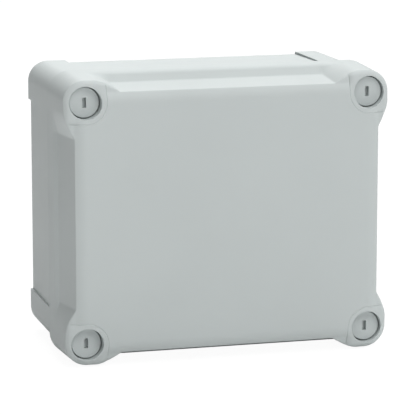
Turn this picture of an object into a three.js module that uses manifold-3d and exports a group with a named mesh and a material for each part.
// Industrial moulded junction box, 192 x 164 x 105 mm: a drafted base with a column in each corner, a
// cover held by four captive quarter-turn screws, a gasket between them, and a rail with five terminals.
// Millimetres. X is to the right and Z is up. The box hangs on a wall behind it and its front faces -Y.
// The origin is the centre of the back face, so a "depth" is a distance in front of the wall: y = -depth.

import * as THREE from "three";
import { mergeVertices } from "three/addons/utils/BufferGeometryUtils.js";
import Module from "manifold-3d";

const wasm = await Module();
wasm.setup();

// ---- Driving dimensions -------------------------------------------------------------------------

const clearance = 0.3; // left between two pieces that touch
const turningGap = 0.4; // round a piece that turns in a bore

// The box as a whole
const boxWidth = 192;
const boxHeight = 164;
const boxDepth = 105;
const jointDepth = 65; // where the cover meets the base
const wall = 3;
const cornerRadius = 13;

// The quarter-turn screws stand this far in from the sides of the cover
const screwInsetX = 13.55;
const screwInsetZ = 13.7;

// Base
const baseBackInset = 2.9; // from the cover's edge to a corner block, at the wall
const baseFrontInset = 0.5; // the same, at the joint
const wallRecess = 1.5; // the side walls lie this far behind the corner blocks
const blockLength = 22;
const floorThickness = 3;
const cavityDraft = 1.2; // the inside is this much smaller at the floor, on each side
const channelRadius = 7.5; // the bore in each corner column
const fixingSeatDepth = 8;
const fixingHoleRadius = 2.6;

// Seal: the base's tongue stands in the cover's groove and presses on the gasket
const sealInset = 4.4; // from the cover's edge to the middle of the seal
const sealToChannel = 2.5; // the middle of the seal passes each corner column's bore at this distance
const tongueThickness = 2;
const tongueHeight = 4.5;
const grooveWidth = 2.8;
const grooveDepth = 7.5;
const gasketWidth = 2.2;
const grooveRib = 2; // the cover's rib inside the groove

// Cover: from the joint a flat rim, a slope and a steep side that ends in a crease round the front
const rimDepth = 10;
const rimDraftX = 1.2;
const rimDraftZ = 1.8;
const slopeDepth = 5;
const slopeInsetX = 2.2;
const slopeInsetZ = 3.8;
const creaseInsetX = 7.35;
const creaseInsetZ = 8.05;
const creaseDrop = 2.3; // from the flat front back to the crease
const crownWidth = 7; // the rounded strip between the crease and the flat front
const padDraft = 1.55; // the corner pads lean in by this much from rim to front
const padStraight = 10; // straight side of a pad, from the screw's axis
const padLength = 20.3; // a pad's side meets the front's crease at this distance
const padSlope = 0.11; // each pad falls away from the front both ways
const padDrop = 1.3; // from the flat front back to a pad, on its screw's axis

// Quarter-turn screw
const wellRadius = 9.05;
const capGap = 0.55; // round the cap in its well
const capRecess = 3.8; // below the pad, on the screw's axis
const capThickness = 5;
const seatThickness = 4;
const shankRadius = 5.1;
const chamberInset = 0.5; // the bore behind the seat is this much smaller than the column's
const slotWidth = 2.1;
const slotLength = 5.9;
const slotDepth = 3.2;
const shankReach = 13; // past the joint, into the base's column
const lugWidth = 4;
const lugHeight = 4;
const clipThickness = 1.2;
const clipGrooveDepth = 0.9;

// Top-hat rail and its screws
const railEndGap = 8.9; // from the end of the rail to the base's inner wall
const railWidth = 35;
const railHeight = 7.5;
const railThickness = 1;
const railChannel = 27;
const railSlotPitch = 31;
const railSlotLength = 15;
const railSlotWidth = 6.2;
const railSlotMargin = 5; // at least this much rail is left beyond the last slot
const railBossRadius = 5;
const railBossDepth = 9;
const railScrewRadius = 1.95;
const railScrewHeadRadius = 4;
const railScrewHeadHeight = 2.6;

// Bosses for a mounting plate
const plateBossInsetX = 30.9; // from the base's inner wall
const plateBossInsetZ = 24.9;
const plateBossRadius = 4.5;
const plateBossDepth = 13;
const pilotRadius = 1.7;

// Terminals
const terminalNames = ["l1", "l2", "l3", "n", "pe"];
const terminalPitch = 8.2;
const terminalHalfHeight = 24;
const terminalReach = 35; // from the rail's front to the top of a terminal
const clampZ = 13; // the two wire clamps lie this far either side of the middle
const barThickness = 1.2;
const barHeight = 16.6; // from the rail's front to the back of the current bar
const cageLength = 6.4;
const cageWall = 1;
const cageHead = 2;
const clampTravel = 3;
const clampHeadHeight = 2.6;
const clampSeat = 1; // the housing's wall under a clamp screw's head
const clampSlotWidth = 0.8;
const wireHoleRadius = 2.2;
const housingWall = 0.8;
const cageEndGap = 0.4; // between a cage and the ends of its chamber
const endPlateThickness = 2;
const endStopWidth = 9.5;
const endStopReach = 26;

// ---- Places that follow from them ---------------------------------------------------------------

const halfWidth = boxWidth / 2;
const halfHeight = boxHeight / 2;
const screwX = halfWidth - screwInsetX;
const screwZ = halfHeight - screwInsetZ;
const sealHalfX = halfWidth - sealInset;
const sealHalfZ = halfHeight - sealInset;
const sealNotchRadius = channelRadius + sealToChannel;
const baseFront = jointDepth - clearance;
const tongueFront = baseFront + tongueHeight;
const grooveFloor = jointDepth + grooveDepth;
const cavityGrow = -(tongueThickness / 2 + 0.5); // the base's inner wall, from the middle of the seal
const innerHalfX = sealHalfX + cavityGrow - cavityDraft;
const innerHalfZ = sealHalfZ + cavityGrow - cavityDraft;
const rimFront = jointDepth + rimDepth;
const slopeFront = rimFront + slopeDepth;
const creaseDepth = boxDepth - creaseDrop;
const padDepth = boxDepth - padDrop; // of a pad, on its screw's axis
const capFront = padDepth - capRecess;
const capBack = capFront - capThickness;
const seatFront = capBack - clearance;
const seatBack = seatFront - seatThickness;
const clipFront = seatBack - clearance;
const clipBack = clipFront - clipThickness;
const shankEnd = jointDepth - shankReach;
const capRadius = wellRadius - capGap;
const shankHoleRadius = shankRadius + turningGap;
const chamberRadius = channelRadius - chamberInset;
const lugRadius = chamberRadius - turningGap;
const clipGrooveRadius = shankRadius - clipGrooveDepth;
const railBack = railBossDepth + clearance;
const railFront = railBack + railHeight;
const railLength = 2 * (innerHalfX - railEndGap);
const railSlotRoom = railLength / 2 - railSlotLength / 2 - railSlotMargin;
const railSlotsEachSide = Math.floor(railSlotRoom / railSlotPitch);
const plateBossX = innerHalfX - plateBossInsetX;
const plateBossZ = innerHalfZ - plateBossInsetZ;
const barBack = railFront + barHeight;
const barFront = barBack + barThickness;
const barReach = clampZ + cageLength / 2 + 0.7; // up and down, past the cages

// Across a terminal, from the outside in: housing, cage, current bar and clamp screw
const housingHalf = (terminalPitch - clearance) / 2;
const cageHalf = housingHalf - housingWall - clearance;
const barHalf = cageHalf - cageWall - clearance;
const clampHeadRadius = cageHalf;
const clampScrewRadius = barHalf;

// Shut, a cage grips the back of the bar; open, its head comes down to the bar's front
const cageBack = barBack - cageEndGap - cageWall;
const cageFront = barFront + clampTravel + cageEndGap + cageHead;
const chamberBack = cageBack - clampTravel - cageEndGap;
const chamberFront = cageFront + clearance;
const clampHeadBack = chamberFront + clampSeat + clearance;
const clampHeadFront = clampHeadBack + clampHeadHeight;

const corners = {
  tl: [-1, 1],
  tr: [1, 1],
  bl: [-1, -1],
  br: [1, -1],
};

// ---- Materials ----------------------------------------------------------------------------------

const finish = (color, roughness, metalness = 0) =>
  new THREE.MeshStandardMaterial({ color, roughness, metalness });

const finishes = {
  shell: () => finish(0xcbd0cc, 0.5),
  cap: () => finish(0xc6cbc8, 0.45),
  gasket: () => finish(0x2b2c2d, 0.9),
  clip: () => finish(0xe9e7df, 0.5),
  zinc: () => finish(0xb9bcbf, 0.35, 1),
  brass: () => finish(0xb99a4e, 0.35, 1),
  copper: () => finish(0xc9c4b8, 0.3, 1),
  grey: () => finish(0x8d9296, 0.55),
  blue: () => finish(0x2b62a8, 0.55),
  green: () => finish(0x3f9a3c, 0.55),
};

// ---- Solids -------------------------------------------------------------------------------------

function toSolid(geometry) {
  geometry.deleteAttribute("normal");
  geometry.deleteAttribute("uv");
  const merged = mergeVertices(geometry, 1e-4);
  const vertProperties = Float32Array.from(merged.getAttribute("position").array);
  const triVerts = Uint32Array.from(merged.getIndex().array);
  return new wasm.Manifold(new wasm.Mesh({ numProp: 3, vertProperties, triVerts }));
}

function toGeometry(solid) {
  const { vertProperties, triVerts } = solid.getMesh();
  const geometry = new THREE.BufferGeometry();
  geometry.setAttribute("position", new THREE.BufferAttribute(vertProperties, 3));
  geometry.setIndex(new THREE.BufferAttribute(triVerts, 1));
  geometry.computeVertexNormals();
  return geometry;
}

const joined = (solids) => solids.reduce((whole, part) => whole.add(part));
const cut = (solid, tools) => tools.reduce((left, tool) => left.subtract(tool), solid);

// An outline in X and Z, carried from one depth to another
function prism(points, back, front) {
  const options = { depth: front - back, bevelEnabled: false };
  const geometry = new THREE.ExtrudeGeometry(new THREE.Shape(points), options);
  geometry.translate(0, 0, back);
  geometry.rotateX(Math.PI / 2);
  return toSolid(geometry);
}

// Outlines with the same number of points, each at its own depth from the back to the front, and the skin
// between them
function loft(sections) {
  const count = sections[0].points.length;
  const positions = [];
  const indices = [];
  for (const { depth, points } of sections) {
    for (const point of points) {
      positions.push(point.x, point.y, depth);
    }
  }
  for (let ring = 0; ring + 1 < sections.length; ring += 1) {
    for (let i = 0; i < count; i += 1) {
      const a = ring * count + i;
      const b = ring * count + ((i + 1) % count);
      indices.push(a, b, b + count, a, b + count, a + count);
    }
  }
  const front = (sections.length - 1) * count;
  for (const [a, b, c] of THREE.ShapeUtils.triangulateShape(sections[0].points, [])) {
    indices.push(c, b, a);
  }
  for (const [a, b, c] of THREE.ShapeUtils.triangulateShape(sections.at(-1).points, [])) {
    indices.push(front + a, front + b, front + c);
  }
  const geometry = new THREE.BufferGeometry();
  geometry.setAttribute("position", new THREE.Float32BufferAttribute(positions, 3));
  geometry.setIndex(indices);
  geometry.rotateX(Math.PI / 2);
  return toSolid(geometry);
}

// A profile in depth and Z, carried from one X to another
function slice(profile, left, right) {
  const shape = new THREE.Shape(profile.map(([depth, z]) => new THREE.Vector2(-depth, z)));
  const geometry = new THREE.ExtrudeGeometry(shape, { depth: right - left, bevelEnabled: false });
  const alongX = new THREE.Matrix4().makeBasis(
    new THREE.Vector3(0, 1, 0),
    new THREE.Vector3(0, 0, 1),
    new THREE.Vector3(1, 0, 0),
  );
  geometry.translate(0, 0, left);
  geometry.applyMatrix4(alongX);
  return toSolid(geometry);
}

function block([left, right], [back, front], [bottom, top]) {
  const geometry = new THREE.BoxGeometry(right - left, front - back, top - bottom);
  geometry.translate((left + right) / 2, -(back + front) / 2, (bottom + top) / 2);
  return toSolid(geometry);
}

// A round bar or a cone on an axis that runs front to back
function round(x, z, radius, back, front, { frontRadius = radius, sides = 24 } = {}) {
  const geometry = new THREE.CylinderGeometry(radius, frontRadius, front - back, sides);
  geometry.translate(x, -(back + front) / 2, z);
  return toSolid(geometry);
}

// A round bar that runs up the box
function upright(x, depth, radius, bottom, top, sides = 12) {
  const geometry = new THREE.CylinderGeometry(radius, radius, top - bottom, sides);
  geometry.rotateX(Math.PI / 2);
  geometry.translate(x, -depth, (bottom + top) / 2);
  return toSolid(geometry);
}

// ---- Outlines -----------------------------------------------------------------------------------

function arc(x, z, radius, from, to, steps) {
  return Array.from({ length: steps + 1 }, (_, i) => {
    const angle = from + ((to - from) * i) / steps;
    return new THREE.Vector2(x + radius * Math.cos(angle), z + radius * Math.sin(angle));
  });
}

// The whole loop from its upper right corner, which is given from the right side round to the top
function mirrored(corner) {
  const flip = (x, z) => corner.map((point) => new THREE.Vector2(x * point.x, z * point.y));
  return [...flip(1, 1), ...flip(-1, 1).reverse(), ...flip(-1, -1), ...flip(1, -1).reverse()];
}

function roundedRectangle(halfX, halfZ, radius) {
  return mirrored(arc(halfX - radius, halfZ - radius, radius, 0, Math.PI / 2, 8));
}

// The seal's line, moved outwards by grow: it runs along the walls and passes inside the corner columns
function sealLoop(grow) {
  const radius = sealNotchRadius - grow;
  return mirrored([
    new THREE.Vector2(sealHalfX + grow, screwZ - radius),
    ...arc(screwX, screwZ, radius, -Math.PI / 2, -Math.PI, 6),
    new THREE.Vector2(screwX - radius, sealHalfZ + grow),
  ]);
}

// Cover outline: straight edges that swell out to a rounded pad at each corner
function coverOutline(edgeX, edgeZ, padX, padZ) {
  const radius = padX - screwX;
  const ease = (t) => t * t * (3 - 2 * t);
  const steps = 5;
  const swell = [];
  for (let i = 0; i <= steps; i += 1) {
    const t = i / steps;
    swell.push([padLength + (padStraight - padLength) * t, ease(t)]);
  }
  const lerp = THREE.MathUtils.lerp;
  const up = swell.map(([away, out]) => new THREE.Vector2(lerp(edgeX, padX, out), screwZ - away));
  const across = swell.map(([away, out]) => new THREE.Vector2(screwX - away, lerp(edgeZ, padZ, out)));
  const roundCorner = arc(padX - radius, padZ - radius, radius, 0, Math.PI / 2, 8);
  return mirrored([...up, ...roundCorner, ...across.reverse()]);
}

// ---- Base ---------------------------------------------------------------------------------------

function makeBase() {
  const outside = (inset, depth) => ({
    depth,
    points: roundedRectangle(halfWidth - inset, halfHeight - inset, cornerRadius - inset / 2),
  });
  const walls = loft([
    outside(baseBackInset + wallRecess, 0),
    outside(baseFrontInset + wallRecess, baseFront),
  ]);
  const blocks = loft([outside(baseBackInset, 0), outside(baseFrontInset, baseFront)]);
  const blockStartX = halfWidth - baseBackInset - blockLength;
  const blockStartZ = halfHeight - baseBackInset - blockLength;
  const betweenBlocks = [
    block([-blockStartX, blockStartX], [-1, boxDepth], [-boxHeight, boxHeight]),
    block([-boxWidth, boxWidth], [-1, boxDepth], [-blockStartZ, blockStartZ]),
  ];
  const cavity = loft([
    { depth: floorThickness, points: sealLoop(cavityGrow - cavityDraft) },
    { depth: jointDepth, points: sealLoop(cavityGrow) },
  ]);
  const tongue = prism(sealLoop(tongueThickness / 2), baseFront - 1, tongueFront);
  const insideTongue = prism(sealLoop(-tongueThickness / 2), baseFront - 2, tongueFront + 1);
  const bosses = [];
  const pilots = [];
  for (const side of [-1, 1]) {
    const x = side * railSlotsEachSide * railSlotPitch;
    bosses.push(round(x, 0, railBossRadius, floorThickness - 1, railBossDepth, { sides: 20 }));
    pilots.push(round(x, 0, railScrewRadius + clearance, floorThickness, boxDepth, { sides: 12 }));
  }
  for (const [sideX, sideZ] of Object.values(corners)) {
    const x = sideX * plateBossX;
    const z = sideZ * plateBossZ;
    bosses.push(round(x, z, plateBossRadius, floorThickness - 1, plateBossDepth, { sides: 16 }));
    pilots.push(round(x, z, pilotRadius, floorThickness, boxDepth, { sides: 12 }));
    const columnX = sideX * screwX;
    const columnZ = sideZ * screwZ;
    pilots.push(round(columnX, columnZ, channelRadius, fixingSeatDepth, boxDepth));
    pilots.push(round(columnX, columnZ, fixingHoleRadius, -1, boxDepth, { sides: 16 }));
  }
  const shell = cut(joined([walls, cut(blocks, betweenBlocks)]), [cavity]);
  const rim = cut(tongue, [insideTongue]);
  return cut(joined([shell, rim, ...bosses]), pilots);
}

// ---- Cover --------------------------------------------------------------------------------------

// Cuts the crown along one side: everything in front of two planes that start at the crease
function crownCutter(crease, side, alongX) {
  const reach = boxWidth;
  const midWidth = crownWidth * 0.45;
  const midDrop = creaseDrop * 0.35;
  const outer = creaseDepth - (creaseDrop - midDrop) * (screwInsetX / midWidth);
  const profile = [
    [crease - crownWidth, boxDepth],
    [crease - midWidth, boxDepth - midDrop],
    [crease + screwInsetX, outer],
    [crease + screwInsetX, boxDepth + 5],
    [crease - crownWidth, boxDepth + 5],
  ];
  if (alongX) {
    return slice(profile.map(([z, depth]) => [depth, side * z]), -reach, reach);
  }
  const geometry = new THREE.ExtrudeGeometry(
    new THREE.Shape(profile.map(([x, depth]) => new THREE.Vector2(side * x, -depth))),
    { depth: 2 * reach, bevelEnabled: false },
  );
  geometry.translate(0, 0, -reach);
  return toSolid(geometry);
}

// Cuts a pad down to a plane that falls away from the front towards the corner
function padCutter(sideX, sideZ) {
  const size = boxWidth;
  const above = new THREE.BoxGeometry(size, size, size);
  above.translate(0, -size / 2, 0);
  const normal = new THREE.Vector3(sideX * padSlope, -1, sideZ * padSlope).normalize();
  const turn = new THREE.Quaternion().setFromUnitVectors(new THREE.Vector3(0, -1, 0), normal);
  above.applyQuaternion(turn);
  above.translate(sideX * screwX, -padDepth, sideZ * screwZ);
  return toSolid(above);
}

function makeCover() {
  const section = (depth, insetX, insetZ) => {
    const lean = (padDraft * (depth - jointDepth)) / (boxDepth - jointDepth);
    return {
      depth,
      points: coverOutline(
        halfWidth - Math.max(insetX, lean),
        halfHeight - Math.max(insetZ, lean),
        halfWidth - lean,
        halfHeight - lean,
      ),
    };
  };
  const outside = loft([
    section(jointDepth, 0, 0),
    section(rimFront, rimDraftX, rimDraftZ),
    section(slopeFront, rimDraftX + slopeInsetX, rimDraftZ + slopeInsetZ),
    section(creaseDepth, creaseInsetX, creaseInsetZ),
    section(boxDepth, creaseInsetX, creaseInsetZ),
  ]);
  const insideGrow = -(grooveWidth / 2 + grooveRib);
  const inside = loft([
    { depth: jointDepth - 1, points: sealLoop(insideGrow) },
    { depth: slopeFront - 2, points: sealLoop(insideGrow) },
    { depth: creaseDepth - wall - 1, points: sealLoop(sealInset - creaseInsetX - wall) },
    { depth: boxDepth - wall, points: sealLoop(sealInset - creaseInsetX - wall - 2) },
  ]);
  const groove = prism(sealLoop(grooveWidth / 2), jointDepth - 1, grooveFloor);
  const insideGroove = prism(sealLoop(-grooveWidth / 2), jointDepth - 2, grooveFloor + 1);
  const tools = [inside, cut(groove, [insideGroove])];
  for (const side of [-1, 1]) {
    tools.push(crownCutter(halfWidth - creaseInsetX, side, false));
    tools.push(crownCutter(halfHeight - creaseInsetZ, side, true));
  }
  for (const [sideX, sideZ] of Object.values(corners)) {
    const x = sideX * screwX;
    const z = sideZ * screwZ;
    tools.push(padCutter(sideX, sideZ));
    tools.push(round(x, z, wellRadius, seatFront, boxDepth + 1, { sides: 32 }));
    tools.push(round(x, z, shankHoleRadius, jointDepth, boxDepth));
    tools.push(round(x, z, chamberRadius, jointDepth - 1, seatBack));
  }
  return cut(outside, tools);
}

function makeGasket() {
  const back = tongueFront + clearance;
  const front = grooveFloor - clearance;
  const ring = prism(sealLoop(gasketWidth / 2), back, front);
  return cut(ring, [prism(sealLoop(-gasketWidth / 2), back - 1, front + 1)]);
}

// ---- Quarter-turn screws ------------------------------------------------------------------------

function makeCoverScrew(x, z) {
  const cap = round(x, z, capRadius, capBack, capFront, { sides: 32 });
  const shank = round(x, z, shankRadius, shankEnd, capBack + 1);
  const tip = round(x, z, shankRadius - 1.5, shankEnd - 2, shankEnd, { frontRadius: shankRadius });
  const lugs = block(
    [x - lugWidth / 2, x + lugWidth / 2],
    [shankEnd, shankEnd + lugHeight],
    [z - lugRadius, z + lugRadius],
  );
  const neckBack = clipBack - clearance;
  const neckFront = clipFront + clearance;
  const neck = cut(round(x, z, shankRadius + 1, neckBack, neckFront), [
    round(x, z, clipGrooveRadius, neckBack - 1, neckFront + 1),
  ]);
  const slot = block(
    [x - slotWidth / 2, x + slotWidth / 2],
    [capFront - slotDepth, capFront + 1],
    [z - slotLength / 2, z + slotLength / 2],
  );
  return cut(joined([cap, shank, tip, lugs]), [neck, slot]);
}

// An open spring clip in the shank's groove, which keeps the screw in the cover
function makeRetainer(x, z) {
  const ring = round(x, z, lugRadius, clipBack, clipFront);
  const bore = round(x, z, clipGrooveRadius + clearance, clipBack - 1, clipFront + 1);
  const mouth = block(
    [x - clipGrooveRadius + 1, x + clipGrooveRadius - 1],
    [clipBack - 1, clipFront + 1],
    [z - lugRadius - 1, z],
  );
  return cut(ring, [bore, mouth]);
}

// ---- Rail ---------------------------------------------------------------------------------------

function makeRail() {
  const brim = railWidth / 2;
  const channel = railChannel / 2;
  const t = railThickness;
  const profile = [
    [railBack, -channel],
    [railBack, channel],
    [railFront - t, channel],
    [railFront - t, brim],
    [railFront, brim],
    [railFront, channel - t],
    [railBack + t, channel - t],
    [railBack + t, t - channel],
    [railFront, t - channel],
    [railFront, -brim],
    [railFront - t, -brim],
    [railFront - t, -channel],
  ];
  const slots = [];
  for (let i = -railSlotsEachSide; i <= railSlotsEachSide; i += 1) {
    const reach = (railSlotLength - railSlotWidth) / 2;
    const radius = railSlotWidth / 2;
    const ends = [
      ...arc(i * railSlotPitch + reach, 0, radius, -Math.PI / 2, Math.PI / 2, 6),
      ...arc(i * railSlotPitch - reach, 0, radius, Math.PI / 2, Math.PI * 1.5, 6),
    ];
    slots.push(prism(ends, railBack - 1, railBack + t + 1));
  }
  return cut(slice(profile, -railLength / 2, railLength / 2), slots);
}

function makeRailScrew(x) {
  const headBack = railBack + railThickness + clearance;
  const headFront = headBack + railScrewHeadHeight;
  const head = round(x, 0, railScrewHeadRadius, headBack, headFront, {
    frontRadius: railScrewHeadRadius - 0.8,
    sides: 20,
  });
  const shank = round(x, 0, railScrewRadius, floorThickness + clearance, headBack + 1, { sides: 12 });
  const arm = 0.5;
  const reach = railScrewHeadRadius - 1.7;
  const cross = [
    block([x - reach, x + reach], [headFront - 1.4, headFront + 1], [-arm, arm]),
    block([x - arm, x + arm], [headFront - 1.4, headFront + 1], [-reach, reach]),
  ];
  return cut(joined([head, shank]), cross);
}

// ---- Terminals ----------------------------------------------------------------------------------

// Half of the outline of a piece that hooks over both brims of the rail, from the middle upwards
function railFoot() {
  const brim = railWidth / 2;
  const seat = railFront + clearance;
  const hookFront = railFront - railThickness - clearance;
  return [
    [seat, brim + clearance],
    [hookFront, brim + clearance],
    [hookFront, brim - 1.5],
    [hookFront - 2, brim - 1.5],
    [hookFront - 2, brim + 3],
  ];
}

function symmetric(upper) {
  return [...upper, ...upper.map(([depth, z]) => [depth, -z]).reverse()];
}

function terminalProfile() {
  const top = railFront + terminalReach;
  const side = terminalHalfHeight;
  return symmetric([
    ...railFoot(),
    [railFront + 5, side],
    [top - 14, side],
    [top - 6, side - 3.5],
    [top, side - 11],
    [top, 7.5],
    [top - 4, 6],
  ]);
}

function makeTerminal(x) {
  const body = slice(terminalProfile(), x - housingHalf, x + housingHalf);
  const room = cageHalf + clearance;
  const barRoom = barHalf + clearance;
  const tools = [
    block(
      [x - barRoom, x + barRoom],
      [barBack - clearance, barFront + clearance],
      [-barReach - clearance, barReach + clearance],
    ),
  ];
  const headHole = clampHeadRadius + clearance;
  for (const side of [-1, 1]) {
    const z = side * clampZ;
    const reach = cageLength / 2 + cageEndGap;
    tools.push(block([x - room, x + room], [chamberBack, chamberFront], [z - reach, z + reach]));
    tools.push(round(x, z, clampScrewRadius + clearance, chamberFront - 1, boxDepth, { sides: 12 }));
    tools.push(round(x, z, headHole, clampHeadBack - clearance, boxDepth, { sides: 16 }));
    const ends = [side * clampZ, side * (terminalHalfHeight + 1)].sort((a, b) => a - b);
    tools.push(upright(x, barBack - wireHoleRadius, wireHoleRadius, ends[0], ends[1]));
  }
  return cut(body, tools);
}

function makeCurrentBar(x) {
  return block([x - barHalf, x + barHalf], [barBack, barFront], [-barReach, barReach]);
}

function makeCage(x, z) {
  const reach = cageLength / 2;
  const body = block([x - cageHalf, x + cageHalf], [cageBack, cageFront], [z - reach, z + reach]);
  const window = block(
    [x - cageHalf + cageWall, x + cageHalf - cageWall],
    [cageBack + cageWall, cageFront - cageHead],
    [z - reach - 1, z + reach + 1],
  );
  const boreRadius = clampScrewRadius + clearance;
  const bore = round(x, z, boreRadius, cageFront - cageHead - 1, cageFront + 1, { sides: 12 });
  return cut(body, [window, bore]);
}

function makeClampScrew(x, z) {
  const head = round(x, z, clampHeadRadius, clampHeadBack, clampHeadFront, { sides: 16 });
  const tip = barFront + cageEndGap;
  const shank = round(x, z, clampScrewRadius, tip, clampHeadBack + 1, { sides: 12 });
  const slot = block(
    [x - clampSlotWidth / 2, x + clampSlotWidth / 2],
    [clampHeadFront - 1.2, clampHeadFront + 1],
    [z - clampHeadRadius - 1, z + clampHeadRadius + 1],
  );
  return cut(joined([head, shank]), [slot]);
}

function makeEndPlate(x) {
  return slice(terminalProfile(), x - endPlateThickness / 2, x + endPlateThickness / 2);
}

function makeEndStop(x) {
  const top = railFront + endStopReach;
  const profile = symmetric([
    ...railFoot(),
    [railFront + 4, railWidth / 2 + 4.5],
    [top - 12, railWidth / 2 + 4.5],
    [top, 9],
  ]);
  const half = endStopWidth / 2;
  const well = round(x, 0, railScrewHeadRadius, top - 6, top + 1, { sides: 16 });
  const bore = round(x, 0, clampScrewRadius + clearance, railFront, top, { sides: 12 });
  return cut(slice(profile, x - half, x + half), [well, bore]);
}

// The screw that draws an end stop tight on the rail
function makeEndStopScrew(x) {
  const headBack = railFront + endStopReach - 6 + clearance;
  const headFront = headBack + clampHeadHeight;
  const head = round(x, 0, clampHeadRadius, headBack, headFront, { sides: 16 });
  const shank = round(x, 0, clampScrewRadius, railFront - 2, headBack + 1, { sides: 12 });
  const slot = block(
    [x - clampHeadRadius - 1, x + clampHeadRadius + 1],
    [headFront - 1.2, headFront + 1],
    [-clampSlotWidth / 2, clampSlotWidth / 2],
  );
  return cut(joined([head, shank]), [slot]);
}

// ---- Assembly -----------------------------------------------------------------------------------

const junctionBox = new THREE.Group();

function place(name, solid, material) {
  const mesh = new THREE.Mesh(toGeometry(solid), material);
  mesh.name = name;
  junctionBox.add(mesh);
}

place("base_box", makeBase(), finishes.shell());
place("cover", makeCover(), finishes.shell());
place("cover_gasket", makeGasket(), finishes.gasket());

for (const [corner, [sideX, sideZ]] of Object.entries(corners)) {
  place(`cover_screw_${corner}`, makeCoverScrew(sideX * screwX, sideZ * screwZ), finishes.cap());
  place(`screw_retainer_${corner}`, makeRetainer(sideX * screwX, sideZ * screwZ), finishes.clip());
}

place("din_rail", makeRail(), finishes.zinc());
for (const [side, sign] of [["left", -1], ["right", 1]]) {
  place(`rail_screw_${side}`, makeRailScrew(sign * railSlotsEachSide * railSlotPitch), finishes.zinc());
}

// The terminals stand in a row from left to right, then an end plate, with an end stop at each end
const rowWidth = terminalNames.length * terminalPitch + endPlateThickness + clearance;
const rowStart = -rowWidth / 2;
const housings = { n: "blue", pe: "green" };
terminalNames.forEach((name, i) => {
  const x = rowStart + terminalPitch * (i + 0.5);
  place(`terminal_${name}`, makeTerminal(x), finishes[housings[name] ?? "grey"]());
  place(`current_bar_${name}`, makeCurrentBar(x), finishes.copper());
  for (const [end, side] of [["top", 1], ["bottom", -1]]) {
    place(`clamp_cage_${name}_${end}`, makeCage(x, side * clampZ), finishes.brass());
    place(`clamp_screw_${name}_${end}`, makeClampScrew(x, side * clampZ), finishes.zinc());
  }
});
place("end_plate", makeEndPlate(-rowStart - endPlateThickness / 2 - clearance / 2), finishes.grey());
for (const [side, sign] of [["left", -1], ["right", 1]]) {
  const x = sign * (rowWidth / 2 + clearance + endStopWidth / 2);
  place(`end_stop_${side}`, makeEndStop(x), finishes.grey());
  place(`end_stop_screw_${side}`, makeEndStopScrew(x), finishes.zinc());
}

export default junctionBox;
